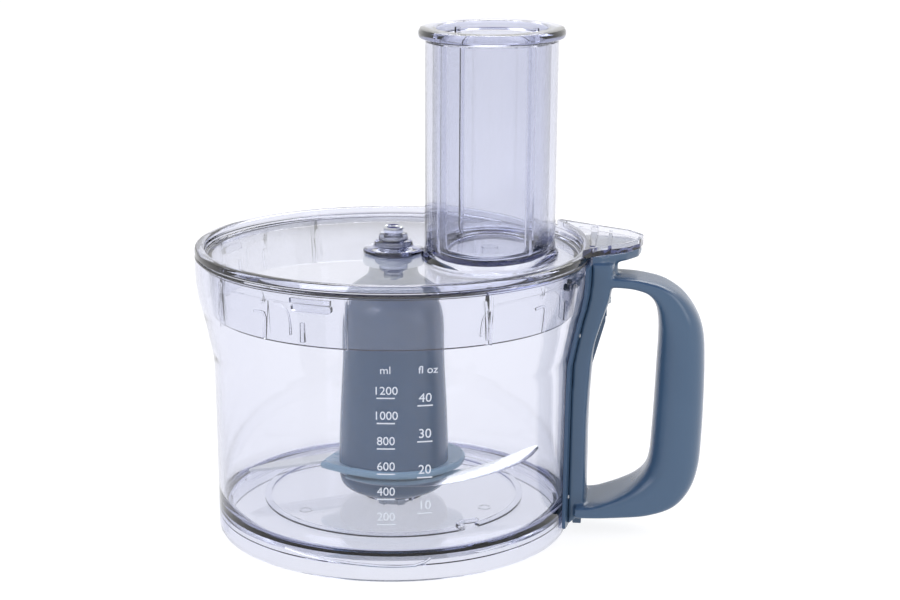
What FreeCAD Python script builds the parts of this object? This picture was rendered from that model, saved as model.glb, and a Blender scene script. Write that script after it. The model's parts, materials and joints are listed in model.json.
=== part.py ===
"""Food processor bowl attachment: clear bowl with handle, knife, locking lid, feed tube and pusher.

Millimetres. The origin is where the bowl's axis meets the plane that the bowl stands on, +Z is up
and the handle points along +X. Every function returns one solid, or one group of like solids.
"""
import FreeCAD
import Part
import math
import os

Vector = FreeCAD.Vector
Z_AXIS = Vector(0, 0, 1)
ORIGIN = Vector(0, 0, 0)

# bowl
BOWL_TOP = 131.0
BOWL_WALL = 2.3
FLOOR_UNDER = 10.5
FLOOR_TOP = 13.0
FOOT_TOP = 14.0
SOCKET_RADIUS = 79.1
SOCKET_DEPTH = 7.0
ABOVE_SOCKET_RADIUS = 78.4
# outer side of the bowl as (radius, height): nearly upright below, flared above
BOWL_SIDE = [(83.2, 5.0), (83.2, 14.0), (83.4, 40.0), (83.7, 70.0), (84.1, 82.0), (85.4, 89.0), (86.9, 96.5),
             (88.4, 103.5), (90.0, 109.5), (91.1, 115.5), (91.6, 122.0), (91.7, BOWL_TOP)]
RIDGE_RADIUS = 60.0
RIDGE_HEIGHT = 1.2
CHIMNEY_RADIUS = 12.5
CHIMNEY_BORE = 10.0
CHIMNEY_TOP = 62.0
BUSH_UNDER = 20.0
LEDGE_UNDER = 125.3
LEDGE_THICK = 2.0
LEDGE_INNER = 86.8
LUG_ANGLES = [-105, -15, 75, 165]
BASE_LEDGE_ANGLES = [-110, -50, 10, 70, 130, 190]
BASE_LEDGE_HALF_ANGLE = 12.0
BASE_LEDGE_INNER = 77.0
LUG_HALF_ANGLE = 6.0

# knife
SHAFT_RADIUS = 6.0
SHAFT_TOP = 118.0
TIP_RADIUS = 3.0
TIP_TOP = 136.5
RUNNING_GAP = 0.05
COUPLING_UNDER = 7.5
COUPLING_TOP = 17.5
COUPLING_RADIUS = 9.6
COUPLING_TEETH = 6
DRIVE_SOCKET_RADIUS = 5.0
DRIVE_SOCKET_DEPTH = 7.0
CARRIER_UNDER = 24.5
CARRIER_TOP = 29.5
CARRIER_BORE = 16.0
CARRIER_EDGE_ROUND = 1.4
# the carrier's edge in plan as (angle, radius): a narrow lobe on one side and a rounder one opposite
CARRIER_EDGE = [(190, 34.6), (204, 32.0), (222, 29.2), (250, 27.6), (290, 27.4), (325, 28.8), (352, 31.8), (376, 34.6),
                (396, 34.2), (414, 31.6), (440, 28.6), (475, 27.4), (508, 28.2), (532, 31.2)]
SLEEVE_RADIUS = 9.0
NECK_TOP = 122.0
HUB_SIDE = [(26.0, CARRIER_TOP), (25.8, 40.0), (25.0, 59.0), (23.9, 80.0), (23.6, 96.0), (22.7, 103.5), (20.5, 108.5),
            (16.2, 112.8), (12.6, 116.0), (11.5, 119.0), (11.5, NECK_TOP)]
HUB_CAVITY = [(0, CARRIER_TOP), (23.2, CARRIER_TOP), (22.4, 59.0), (21.2, 80.0), (21.0, 95.0), (19.6, 102.5),
              (16.5, 107.5), (SLEEVE_RADIUS, 112.5), (SLEEVE_RADIUS, NECK_TOP), (0, NECK_TOP)]
HUB_WEBS = 6
SKIRT_BOTTOM = 15.0
SKIRT_BORE = 15.5
BLADE_THICK = 1.2
BLADE_TIP = 69.0
BLADE_BEND = 35.0
UPPER_BLADE_LEVEL = 27.0
UPPER_BLADE_RISE = 8.0
LOWER_BLADE_LEVEL = 25.2
LOWER_BLADE_RISE = -1.5

# lid
PLATE_UNDER = 128.3
PLATE_TOP = 130.8
LID_RIM_UNDER = 131.3
LID_TOP = 135.0
LID_RADIUS = 91.7
RIM_INNER = 87.2
SKIRT_UNDER = 105.5
SKIRT_RADIUS = 84.4
SKIRT_TOP_RADIUS = 86.0
SKIRT_WALL = 2.0
LUG_UNDER = 121.0
LUG_TOP = 124.6
LUG_RADIUS = 88.2
# upright ribs on the skirt as (angle, underside, top), repeated four times round the lid
SKIRT_RIBS = [(-95, 106.0, 128.0), (-53, 108.0, 128.0), (-144, 108.0, 120.0)]
BUSH_RADIUS = 6.0
BUSH_TOP = 137.0
TAB_UNDER = 133.4
TAB_TOP = 137.2
TAB_FLOOR = 2.0
# the tab in plan, a leaf that leans away from the handle's middle plane, as (x, y, corner radius)
TAB_OUTLINE = [(88.5, -13, 0), (97, -10, 6), (108, -1, 12), (114, 9, 8), (115.5, 21, 5), (109, 31, 8), (95, 38, 12),
               (80, 43, 2), (84.6, 24, 0), (88, 5, 0)]
TAB_POCKET = [(93, -8.5, 1), (97, -7.6, 4), (106.5, 0.6, 9), (111.6, 9.6, 6), (112.6, 20, 3), (107, 28.6, 6),
              (94, 35.2, 9), (84.5, 38.6, 1), (89.5, 22, 0), (92.6, 5, 0)]

# feed tube and pusher, ovals as (half length along X, half length along Y)
TUBE_X = 45.0
TUBE_OVAL = (30.0, 42.0)
TUBE_WALL = 2.5
TUBE_TOP = 229.5
PUSHER_GAP = 0.6
PUSHER_WALL = 2.2
PUSHER_UNDER = 132.0
PUSHER_TOP = 235.0
PUSHER_FLANGE_UNDER = 230.2
PUSHER_OVERHANG = 3.2

# handle and the lid interlock inside it
HANDLE_HALF_WIDTH = 15.0
EDGE_ROUND = 1.8
PLUNGER_BOSS_RADIUS = 7.0
PLUNGER_BOSS_UNDER = 121.0
BACK_PLATE_GAP = 0.2
BACK_PLATE_THICK = 1.6
BACK_PLATE_HALF_ANGLE = 11.5
# the flange at the top of the post, under the lid's tab, as (x, y, corner radius)
FLANGE_OUTLINE = [(86, -11.5, 0), (97, -10.5, 6), (107.6, -1, 12), (113.4, 9, 8), (114.8, 20.6, 5), (108, 30, 8),
                  (90, 33, 3), (84, 30, 0)]
FLANGE_UNDER = 129.5
FLANGE_TOP = 133.0
ROD_LOW_X = 88.0
ROD_TOP_X = 97.6
ROD_HALF_THICK = 1.5
ROD_HALF_WIDTH = 3.0
ROD_UNDER = 2.0
CRANK_UNDER = 66.0
CRANK_TOP = 104.0
PIN_RADIUS = 2.0
PIN_TOP = 123.0
BUTTON_RADIUS = 3.0
BUTTON_TRAVEL = 5.0
HOUSING_RADIUS = 3.8
HOUSING_UNDER = 109.5
COLLAR_TOP = 112.0
SCREW_RADIUS = 1.5
SCREW_PLACES = [(y, z) for y in (-10.5, 10.5) for z in (18.0, 96.0)]


def cylinder(radius, z0, z1, x=0.0, y=0.0):
    return Part.makeCylinder(radius, z1 - z0, Vector(x, y, z0), Z_AXIS)


def tube(outer, inner, z0, z1, x=0.0):
    return cylinder(outer, z0, z1, x).cut(cylinder(inner, z0, z1, x))


def block(x0, x1, y0, y1, z0, z1):
    return Part.makeBox(x1 - x0, y1 - y0, z1 - z0, Vector(x0, y0, z0))


def closed_wire(points):
    return Part.makePolygon([*points, points[0]])


def spun(profile, half_angle=180.0, centre=0.0):
    """Turns a closed (radius, height) outline about the bowl's axis, through all or part of a circle."""
    wire = closed_wire([Vector(r, 0, z) for r, z in profile])
    solid = Part.Face(wire).revolve(ORIGIN, Z_AXIS, 2 * half_angle)
    solid.rotate(ORIGIN, Z_AXIS, centre - half_angle)
    return solid


def smooth_edge(side):
    curve = Part.BSplineCurve()
    curve.interpolate([Vector(r, 0, z) for r, z in side])
    return curve.toShape()


def spun_between(outer, inner):
    """A shell of revolution between two smooth (radius, height) sides listed from the bottom up."""
    lines = [Part.makeLine(Vector(a[0], 0, a[1]), Vector(b[0], 0, b[1]))
             for a, b in ((inner[0], outer[0]), (outer[-1], inner[-1]))]
    edges = [lines[0], smooth_edge(outer), lines[1], smooth_edge(inner)]
    return Part.Face(Part.Wire(Part.__sortEdges__(edges))).revolve(ORIGIN, Z_AXIS, 360)


def outer_radius(z):
    """Radius of the bowl's outer side at a height."""
    if z <= BOWL_SIDE[0][1]:
        return BOWL_SIDE[0][0]
    for (r0, z0), (r1, z1) in zip(BOWL_SIDE, BOWL_SIDE[1:]):
        if z <= z1:
            return r0 + (r1 - r0) * (z - z0) / (z1 - z0)
    return BOWL_SIDE[-1][0]


def rounded_wire(corners, place):
    """A closed wire through (a, b, radius) corners, each rounded by an arc of its radius."""
    flat = [Vector(a, b, 0) for a, b, _ in corners]
    cuts = []
    for i, (_, _, radius) in enumerate(corners):
        here = flat[i]
        back = (flat[i - 1] - here).normalize()
        ahead = (flat[(i + 1) % len(flat)] - here).normalize()
        half = back.getAngle(ahead) / 2
        reach = radius / math.tan(half)
        middle = here + (back + ahead).normalize() * (radius / math.sin(half) - radius)
        cuts.append((here + back * reach, middle, here + ahead * reach, radius))
    edges = []
    for i, (start, middle, end, radius) in enumerate(cuts):
        if radius > 0:
            edges.append(Part.Arc(*[place(p.x, p.y) for p in (start, middle, end)]).toShape())
        following = cuts[(i + 1) % len(cuts)][0]
        if (following - end).Length > 1e-6:
            edges.append(Part.makeLine(place(end.x, end.y), place(following.x, following.y)))
    return Part.Wire(edges)


def upright_slab(corners, half_width):
    """An outline in the XZ plane given thickness along Y."""
    wire = rounded_wire(corners, lambda x, z: Vector(x, -half_width, z))
    return Part.Face(wire).extrude(Vector(0, 2 * half_width, 0))


def flat_slab(corners, z0, z1):
    """An outline in the XY plane given thickness along Z."""
    wire = rounded_wire(corners, lambda x, y: Vector(x, y, z0))
    return Part.Face(wire).extrude(Vector(0, 0, z1 - z0))


def oval(inset, z0, z1):
    """A solid oval prism on the feed tube's axis, smaller than the tube by the inset."""
    along_x, along_y = TUBE_OVAL[0] - inset, TUBE_OVAL[1] - inset
    centre = Vector(TUBE_X, 0, z0)
    curve = Part.Ellipse(centre + Vector(0, along_y, 0), centre + Vector(along_x, 0, 0), centre)
    return Part.Face(Part.Wire([curve.toShape()])).extrude(Vector(0, 0, z1 - z0))


def fuse(first, *others):
    return first.multiFuse(list(others)).removeSplitter()


def bowl():
    outer_side = [(r, z) for r, z in BOWL_SIDE if z >= FOOT_TOP]
    inner_side = [(r - BOWL_WALL, z) for r, z in outer_side]
    wall = spun_between(outer_side, inner_side)
    foot = spun([(SOCKET_RADIUS, 0), (81.0, 0), (82.2, 1.0), BOWL_SIDE[0], outer_side[0], inner_side[0],
                 (ABOVE_SOCKET_RADIUS, FOOT_TOP), (ABOVE_SOCKET_RADIUS, SOCKET_DEPTH), (SOCKET_RADIUS, SOCKET_DEPTH)])
    floor = tube(79.0, CHIMNEY_BORE, FLOOR_UNDER, FLOOR_TOP)
    ridge = spun([(RIDGE_RADIUS - 1.0, FLOOR_TOP - 0.5), (RIDGE_RADIUS + 1.0, FLOOR_TOP - 0.5),
                  (RIDGE_RADIUS + 0.6, FLOOR_TOP + RIDGE_HEIGHT), (RIDGE_RADIUS - 0.6, FLOOR_TOP + RIDGE_HEIGHT)])
    chimney = tube(CHIMNEY_RADIUS, CHIMNEY_BORE, FLOOR_UNDER, CHIMNEY_TOP)
    return fuse(wall, foot, floor, ridge, chimney, *lid_ledges(), *base_ledges())


def lid_ledges():
    """Ledges inside the bowl's mouth that the lid's lugs turn under."""
    top = LEDGE_UNDER + LEDGE_THICK
    section = [(LEDGE_INNER, LEDGE_UNDER), (90.0, LEDGE_UNDER), (90.0, top), (LEDGE_INNER, top)]
    return [spun(section, LUG_HALF_ANGLE, angle) for angle in LUG_ANGLES]


def base_ledges():
    """Ledges inside the foot that draw the bowl down on the motor base."""
    section = [(BASE_LEDGE_INNER, SOCKET_DEPTH + 0.3), (79.5, SOCKET_DEPTH + 0.3), (79.5, SOCKET_DEPTH + 2.4),
               (BASE_LEDGE_INNER, SOCKET_DEPTH + 2.0)]
    return [spun(section, BASE_LEDGE_HALF_ANGLE, angle) for angle in BASE_LEDGE_ANGLES]


def chimney_bush():
    return tube(CHIMNEY_BORE, SHAFT_RADIUS + RUNNING_GAP, BUSH_UNDER, CHIMNEY_TOP - 2.0)


def back_plate():
    heights = [4.0, 14.0, 40.0, 70.0, 82.0, 89.0, 96.5, 103.5, 109.5, 115.5, 122.0, FLANGE_UNDER]
    near = [(outer_radius(z) + BACK_PLATE_GAP, z) for z in heights]
    far = [(outer_radius(z) + BACK_PLATE_GAP + BACK_PLATE_THICK, z) for z in reversed(heights)]
    return spun(near + far, BACK_PLATE_HALF_ANGLE).cut(handle_screws())


def behind_back_plate():
    """Everything inside the back plate's outer face, which the handle fits against."""
    heights = [-5.0, 14.0, 40.0, 70.0, 82.0, 89.0, 96.5, 103.5, 109.5, 115.5, 122.0, FLANGE_UNDER, 140.0]
    side = [(outer_radius(z) + BACK_PLATE_GAP + BACK_PLATE_THICK, z) for z in heights]
    return spun([(0.0, heights[0]), *side, (0.0, heights[-1])])


def handle():
    loop = upright_slab([(78, FLANGE_UNDER, 0), (102.5, FLANGE_UNDER, 0), (102.5, 124.2, 2), (144.6, 117.5, 22),
                         (144.6, 14.0, 27), (90, 9, 1), (80, 2.4, 0), (78, 2.4, 0)], HANDLE_HALF_WIDTH)
    grip_hole = upright_slab([(92.6, 13.4, 3), (122.5, 16.8, 18), (122.5, 117.0, 16), (102.6, 119.4, 4), (94.6, 90, 25),
                              (92.6, 60, 60)], 2 * HANDLE_HALF_WIDTH)
    body = loop.cut(grip_hole)
    body = body.makeFillet(EDGE_ROUND, [e for e in body.Edges if is_grip_edge(e)])
    flange = flat_slab(FLANGE_OUTLINE, FLANGE_UNDER, FLANGE_TOP)
    plunger_boss = cylinder(PLUNGER_BOSS_RADIUS, PLUNGER_BOSS_UNDER, FLANGE_UNDER, ROD_TOP_X)
    body = body.multiFuse([flange, plunger_boss]).cut(behind_back_plate())
    rod_way = upright_slab([(78, -2, 0), (ROD_LOW_X + 2.6, -2, 0), (ROD_LOW_X + 2.6, CRANK_UNDER, 0),
                            (ROD_TOP_X + 2.6, CRANK_TOP, 0), (ROD_TOP_X + 2.6, HOUSING_UNDER, 0),
                            (78, HOUSING_UNDER, 0)], ROD_HALF_WIDTH + 1.2)
    housing = cylinder(HOUSING_RADIUS, HOUSING_UNDER - 1, FLANGE_UNDER, ROD_TOP_X)
    button_hole = cylinder(BUTTON_RADIUS + 0.3, FLANGE_UNDER - 1, FLANGE_TOP + 1, ROD_TOP_X)
    return body.cut(rod_way.multiFuse([housing, button_hole])).cut(handle_screws()).removeSplitter()


def is_grip_edge(edge):
    """True for the long side edges of the loop that a hand closes round."""
    box = edge.BoundBox
    return box.YLength < 1e-6 and abs(abs(box.YMin) - HANDLE_HALF_WIDTH) < 1e-6 and box.XMin > 102.7


def handle_screws():
    """Four countersunk screws that hold the back plate to the handle's post."""
    screws = []
    for y, z in SCREW_PLACES:
        face = math.sqrt((outer_radius(z) + BACK_PLATE_GAP) ** 2 - y ** 2) + 0.4
        shank = Part.makeCylinder(SCREW_RADIUS, 7.0, Vector(face, y, z), Vector(1, 0, 0))
        head = Part.makeCone(2.6, SCREW_RADIUS, 1.1, Vector(face, y, z), Vector(1, 0, 0))
        screws.append(shank.fuse(head).removeSplitter())
    return Part.makeCompound(screws)


def rod_guide():
    """The collar that steers the interlock rod and carries its spring."""
    return tube(HOUSING_RADIUS, PIN_RADIUS + 0.1, HOUSING_UNDER, COLLAR_TOP, ROD_TOP_X)


def interlock_spring():
    turns = 6
    wire_radius = 0.35
    pitch = (PIN_TOP - COLLAR_TOP - 2 * wire_radius) / turns
    coil_radius = HOUSING_RADIUS - 0.9
    helix = Part.makeHelix(pitch, pitch * turns, coil_radius)
    start = Vector(coil_radius, 0, 0)
    section = Part.Wire([Part.makeCircle(wire_radius, start, Vector(0, 1, 0))])
    spring = Part.Wire(helix).makePipeShell([section], True, True)
    spring.translate(Vector(ROD_TOP_X, 0, COLLAR_TOP + wire_radius))
    return spring


def interlock_rod():
    low, top, half = ROD_LOW_X, ROD_TOP_X, ROD_HALF_THICK
    bar = upright_slab([(low - half, ROD_UNDER + 4, 0), (low + half, ROD_UNDER + 4, 0), (low + half, CRANK_UNDER, 0),
                        (top + half, CRANK_TOP - 3, 0), (top + half, CRANK_TOP, 0), (top - half, CRANK_TOP, 0),
                        (low - half, CRANK_UNDER, 0)], ROD_HALF_WIDTH)
    pin = cylinder(PIN_RADIUS, CRANK_TOP - 1, PIN_TOP, top)
    return fuse(bar, pin)


def rod_foot():
    foot = block(ROD_LOW_X - 2.0, ROD_LOW_X + 2.0, -3.6, 3.6, ROD_UNDER, ROD_UNDER + 4)
    return foot.makeFillet(0.8, [e for e in foot.Edges if e.BoundBox.ZMax < ROD_UNDER + 0.1])


def interlock_button():
    shoulder = cylinder(HOUSING_RADIUS - 0.3, PIN_TOP, PIN_TOP + 1.4, ROD_TOP_X)
    stem = cylinder(BUTTON_RADIUS, PIN_TOP + 1.0, FLANGE_TOP, ROD_TOP_X)
    stem = stem.makeFillet(0.8, [stem.Edges[0]])
    return fuse(shoulder, stem)


def drive_shaft():
    return cylinder(SHAFT_RADIUS, COUPLING_TOP, SHAFT_TOP)


def shaft_tip():
    tip = cylinder(TIP_RADIUS, SHAFT_TOP, TIP_TOP)
    return tip.makeChamfer(0.8, [e for e in tip.Edges if e.BoundBox.ZMin > TIP_TOP - 0.1])


def drive_coupling():
    """Toothed dog in the chimney's foot, with the round socket that the motor's drive end enters."""
    dog = cylinder(COUPLING_RADIUS - 1.6, COUPLING_UNDER, COUPLING_TOP)
    teeth = []
    for i in range(COUPLING_TEETH):
        tooth = block(COUPLING_RADIUS - 3.0, COUPLING_RADIUS - 0.2, -1.8, 1.8, COUPLING_UNDER, COUPLING_TOP)
        tooth.rotate(ORIGIN, Z_AXIS, 360 / COUPLING_TEETH * i)
        teeth.append(tooth)
    socket = cylinder(DRIVE_SOCKET_RADIUS, COUPLING_UNDER, COUPLING_UNDER + DRIVE_SOCKET_DEPTH)
    return fuse(dog, *teeth).cut(socket)


def retaining_clip():
    ring = tube(8.0, SHAFT_RADIUS, CHIMNEY_TOP + 0.6, CHIMNEY_TOP + 1.8)
    return ring.cut(block(4.0, 9.0, -1.5, 1.5, CHIMNEY_TOP, CHIMNEY_TOP + 3))


def knife_hub():
    full = spun_between(HUB_SIDE, [(0, CARRIER_TOP), (0, NECK_TOP)])
    return full.cut(spun(HUB_CAVITY))


def hub_collar():
    return spun([(SLEEVE_RADIUS, NECK_TOP), (13.4, NECK_TOP), (14.2, NECK_TOP + 0.8), (14.2, NECK_TOP + 4.6),
                 (13.8, NECK_TOP + 5.2), (12.6, NECK_TOP + 5.2), (12.6, NECK_TOP + 2.4), (SLEEVE_RADIUS, NECK_TOP + 2.4)])


def hub_sleeve():
    """The inner sleeve that grips the shaft, closed over its top, with webs out to the hub."""
    sleeve = tube(SLEEVE_RADIUS, SHAFT_RADIUS, CHIMNEY_TOP + 6, SHAFT_TOP)
    cap = tube(SLEEVE_RADIUS, TIP_RADIUS, SHAFT_TOP, NECK_TOP)
    webs = []
    for i in range(HUB_WEBS):
        web = block(SLEEVE_RADIUS - 0.5, 20.6, -0.8, 0.8, CHIMNEY_TOP + 8, 94.0)
        web.rotate(ORIGIN, Z_AXIS, 360 / HUB_WEBS * (i + 0.5))
        webs.append(web)
    return fuse(sleeve, cap, *webs)


def blade(z, rise):
    """A scimitar blade pointing along +X, flat in its carrier and bent up beyond it by the rise."""
    place = [Vector(x, y, 0) for x, y in ((14, -26.6), (46, -13.2), (68.6, 9.4), (46, -0.6), (14, -16.5))]
    edges = [Part.Arc(place[0], place[1], place[2]).toShape(), Part.Arc(place[2], place[3], place[4]).toShape(),
             Part.makeLine(place[4], place[0])]
    plan = Part.Face(Part.Wire(edges)).extrude(Vector(0, 0, 60))
    strip = upright_slab([(10, z, 0), (BLADE_BEND, z, 0), (BLADE_TIP, z + rise, 0),
                          (BLADE_TIP, z + rise + BLADE_THICK, 0), (BLADE_BEND, z + BLADE_THICK, 0),
                          (10, z + BLADE_THICK, 0)], 30)
    return plan.common(strip)


def blade_upper():
    return blade(UPPER_BLADE_LEVEL, UPPER_BLADE_RISE)


def blade_lower():
    lower = blade(LOWER_BLADE_LEVEL, LOWER_BLADE_RISE)
    lower.rotate(ORIGIN, Z_AXIS, 180)
    return lower


def blade_carrier():
    points = [Vector(r * math.cos(math.radians(a)), r * math.sin(math.radians(a)), CARRIER_UNDER)
              for a, r in CARRIER_EDGE]
    edge = Part.BSplineCurve()
    edge.interpolate(points, PeriodicFlag=True)
    disc = Part.Face(Part.Wire([edge.toShape()])).extrude(Vector(0, 0, CARRIER_TOP - CARRIER_UNDER))
    disc = disc.makeFillet(CARRIER_EDGE_ROUND, [e for e in disc.Edges if e.BoundBox.ZLength < 1e-3])
    return disc.cut(cylinder(CARRIER_BORE, CARRIER_UNDER, CARRIER_TOP)).cut(blade_upper()).cut(blade_lower())


def hub_skirt():
    return spun([(SKIRT_BORE, SKIRT_BOTTOM), (17.5, SKIRT_BOTTOM), (22.5, 17.0), (25.2, 20.0), (25.6, CARRIER_UNDER),
                 (SKIRT_BORE, CARRIER_UNDER)])


def lid():
    plate = cylinder(RIM_INNER + 0.5, PLATE_UNDER, PLATE_TOP)
    rim = spun([(RIM_INNER - 1.2, PLATE_UNDER), (88.2, PLATE_UNDER), (88.2, LID_RIM_UNDER), (LID_RADIUS, LID_RIM_UNDER),
                (LID_RADIUS, LID_TOP - 1.2), (LID_RADIUS - 1.0, LID_TOP), (RIM_INNER + 0.8, LID_TOP),
                (RIM_INNER, LID_TOP - 0.6), (RIM_INNER - 1.2, PLATE_TOP)])
    skirt = spun([(SKIRT_RADIUS - SKIRT_WALL, SKIRT_UNDER), (SKIRT_RADIUS, SKIRT_UNDER), (SKIRT_TOP_RADIUS, PLATE_TOP),
                  (SKIRT_TOP_RADIUS - SKIRT_WALL, PLATE_TOP)])
    boss = spun([(0, PLATE_UNDER), (14.0, PLATE_UNDER), (14.0, 132.0), (13.2, 132.8), (9.5, 133.2), (8.8, 135.8),
                 (6.9, 136.6), (6.9, 139.0), (4.4, 139.6), (4.0, 141.7), (0, 141.7)])
    lugs = [spun([(SKIRT_RADIUS - 0.5, LUG_UNDER), (LUG_RADIUS, LUG_UNDER + 0.4), (LUG_RADIUS, LUG_TOP - 0.4),
                  (SKIRT_RADIUS - 0.5, LUG_TOP)], LUG_HALF_ANGLE, angle) for angle in LUG_ANGLES]
    body = fuse(plate, rim, skirt, boss, *lugs, *skirt_ribs(), lid_tab())
    bush_space = cylinder(BUSH_RADIUS + RUNNING_GAP, PLATE_UNDER - 1, BUSH_TOP + 0.2)
    return body.cut(bush_space).cut(oval(TUBE_WALL, PLATE_UNDER - 1, PLATE_TOP + 1))


def skirt_ribs():
    """Upright ribs on the outside of the skirt, repeated round the lid: one tall, one short and stepped."""
    ribs = []
    for turn in (0, 90, 180, 270):
        for angle, under, over in SKIRT_RIBS:
            section = [(SKIRT_RADIUS - 1.4, under), (SKIRT_RADIUS + 0.8, under), (86.5, over), (SKIRT_RADIUS - 1.4, over)]
            ribs.append(spun(section, 0.5, angle + turn))
    return ribs


def lid_tab():
    """The beak over the handle that holds the interlock button down, hollow from above."""
    beak = flat_slab(TAB_OUTLINE, TAB_UNDER, TAB_TOP)
    pocket = flat_slab(TAB_POCKET, TAB_UNDER + TAB_FLOOR, TAB_TOP + 1)
    rib = block(99.0, 100.6, -5.0, 30.0, TAB_UNDER + TAB_FLOOR - 0.5, TAB_TOP - 0.4)
    ramp = Part.Face(closed_wire([Vector(92.0, -14, TAB_UNDER - 1), Vector(92.0, 3, TAB_UNDER - 1),
                                  Vector(92.0, 3, TAB_UNDER), Vector(92.0, -14, TAB_UNDER + 1.6)]))
    return beak.cut(pocket).fuse(rib).cut(ramp.extrude(Vector(30, 0, 0)))


def lid_bush():
    """The metal sleeve in the lid's boss in which the tip of the shaft runs."""
    return tube(BUSH_RADIUS, TIP_RADIUS + RUNNING_GAP, PLATE_UNDER, BUSH_TOP)


def bush_ring():
    return tube(8.5, TIP_RADIUS + 0.3, PLATE_UNDER - 0.9, PLATE_UNDER - 0.05).fuse(
        tube(BUSH_RADIUS, TIP_RADIUS + 0.3, PLATE_UNDER - 0.9, PLATE_UNDER)).removeSplitter()


def feed_tube():
    outer = fuse(oval(0.0, PLATE_TOP, TUBE_TOP), oval(-1.6, PLATE_TOP, PLATE_TOP + 3.0))
    return outer.cut(oval(TUBE_WALL, PLATE_TOP, TUBE_TOP))


def pusher():
    inset = TUBE_WALL + PUSHER_GAP
    cup = oval(inset, PUSHER_UNDER, PUSHER_TOP)
    flange = oval(-PUSHER_OVERHANG, PUSHER_FLANGE_UNDER, PUSHER_TOP)
    flange = flange.makeFillet(1.6, [e for e in flange.Edges if e.BoundBox.ZLength < 1e-6])
    return fuse(cup, flange).cut(oval(inset + PUSHER_WALL, PUSHER_UNDER + PUSHER_WALL, PUSHER_TOP))


PARTS = {
    "bowl": bowl,
    "chimney_bush": chimney_bush,
    "handle": handle,
    "handle_back_plate": back_plate,
    "handle_screws": handle_screws,
    "rod_guide": rod_guide,
    "interlock_spring": interlock_spring,
    "interlock_rod": interlock_rod,
    "rod_foot": rod_foot,
    "interlock_button": interlock_button,
    "drive_shaft": drive_shaft,
    "shaft_tip": shaft_tip,
    "drive_coupling": drive_coupling,
    "retaining_clip": retaining_clip,
    "knife_hub": knife_hub,
    "hub_collar": hub_collar,
    "hub_sleeve": hub_sleeve,
    "blade_carrier": blade_carrier,
    "blade_upper": blade_upper,
    "blade_lower": blade_lower,
    "hub_skirt": hub_skirt,
    "lid": lid,
    "lid_bush": lid_bush,
    "bush_ring": bush_ring,
    "feed_tube": feed_tube,
    "pusher": pusher,
}

os.makedirs("parts", exist_ok=True)
for name, make in PARTS.items():
    shape = make()
    shape.exportStep(f"parts/{name}.step")
    print(f"{name:18s} valid {shape.isValid()}  solids {len(shape.Solids)}  volume {shape.Volume:10.1f} mm3")
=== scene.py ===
"""Food processor bowl attachment: the looks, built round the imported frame. Shapes are in millimetres
in the part's own frame and become metres when a piece is finished."""
import json
import math

import bmesh
import bpy
from mathutils import Matrix, Vector


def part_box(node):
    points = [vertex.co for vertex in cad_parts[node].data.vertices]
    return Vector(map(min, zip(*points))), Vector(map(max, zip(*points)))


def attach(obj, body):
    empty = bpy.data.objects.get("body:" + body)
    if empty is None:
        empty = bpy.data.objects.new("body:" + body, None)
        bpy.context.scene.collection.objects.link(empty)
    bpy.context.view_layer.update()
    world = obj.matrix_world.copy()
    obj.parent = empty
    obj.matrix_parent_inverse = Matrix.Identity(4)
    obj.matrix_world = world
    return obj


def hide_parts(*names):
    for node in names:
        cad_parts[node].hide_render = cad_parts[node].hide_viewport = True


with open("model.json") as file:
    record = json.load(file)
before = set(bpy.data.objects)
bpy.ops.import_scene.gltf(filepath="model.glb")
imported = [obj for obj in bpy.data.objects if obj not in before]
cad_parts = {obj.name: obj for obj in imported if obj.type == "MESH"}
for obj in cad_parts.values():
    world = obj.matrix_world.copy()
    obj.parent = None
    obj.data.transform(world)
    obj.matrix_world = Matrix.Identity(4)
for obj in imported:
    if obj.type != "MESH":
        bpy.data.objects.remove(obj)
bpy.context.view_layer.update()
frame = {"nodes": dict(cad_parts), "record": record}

MM = 0.001
TURN = 2 * math.pi
ROUND = 192
SHARP_ANGLE = math.radians(38)

# driving dimensions, read from the frame
BOWL_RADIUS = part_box("bowl")[1].x / MM
BOWL_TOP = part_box("bowl")[1].z / MM
LID_SKIRT_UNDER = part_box("lid")[0].z / MM
TUBE_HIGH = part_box("feed_tube")[1] / MM
PUSHER_LOW, PUSHER_HIGH = (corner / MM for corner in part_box("pusher"))
CARRIER_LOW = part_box("blade_carrier")[0] / MM

WALL = 2.3
FLOOR_UNDER = 10.5
FLOOR_TOP = 13.0
FOOT_INNER = 79.1
RIDGE_RADIUS = 60.0
CHIMNEY_RADIUS = 12.5
CHIMNEY_BORE = 10.0
CHIMNEY_TOP = 62.0
BOWL_SIDE = [(83.2, 5.0), (83.2, 14.0), (83.4, 40.0), (83.7, 70.0), (84.1, 82.0), (85.4, 89.0),
             (86.9, 96.5),
             (88.4, 103.5), (90.0, 109.5), (91.1, 115.5), (91.6, 122.0), (BOWL_RADIUS, BOWL_TOP)]

PLATE_UNDER = 128.3
PLATE_TOP = 130.8
LID_TOP = 135.0
RIM_INNER = 87.2
SKIRT_RADIUS = 84.4
SKIRT_TOP_RADIUS = 86.0
SKIRT_WALL = 2.0
LUG_ANGLES = (-105, -15, 75, 165)

TUBE_X = 45.0
TUBE_OVAL = (30.0, 42.0)
TUBE_WALL = 2.5


# ---------------------------------------------------------------- mesh helpers

def smooth_run(points, steps=6):
    """Points along a Catmull-Rom curve through the given points."""
    run = []
    last = len(points) - 1
    for i in range(last):
        p0, p1, p2, p3 = (Vector(points[min(max(k, 0), last)]) for k in (i - 1, i, i + 1, i + 2))
        for s in range(steps):
            t = s / steps
            run.append(0.5 * (2 * p1 + (p2 - p0) * t + (2 * p0 - 5 * p1 + 4 * p2 - p3) * t ** 2
                              + (3 * p1 - p0 - 3 * p2 + p3) * t ** 3))
    return run + [Vector(points[-1])]


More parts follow.
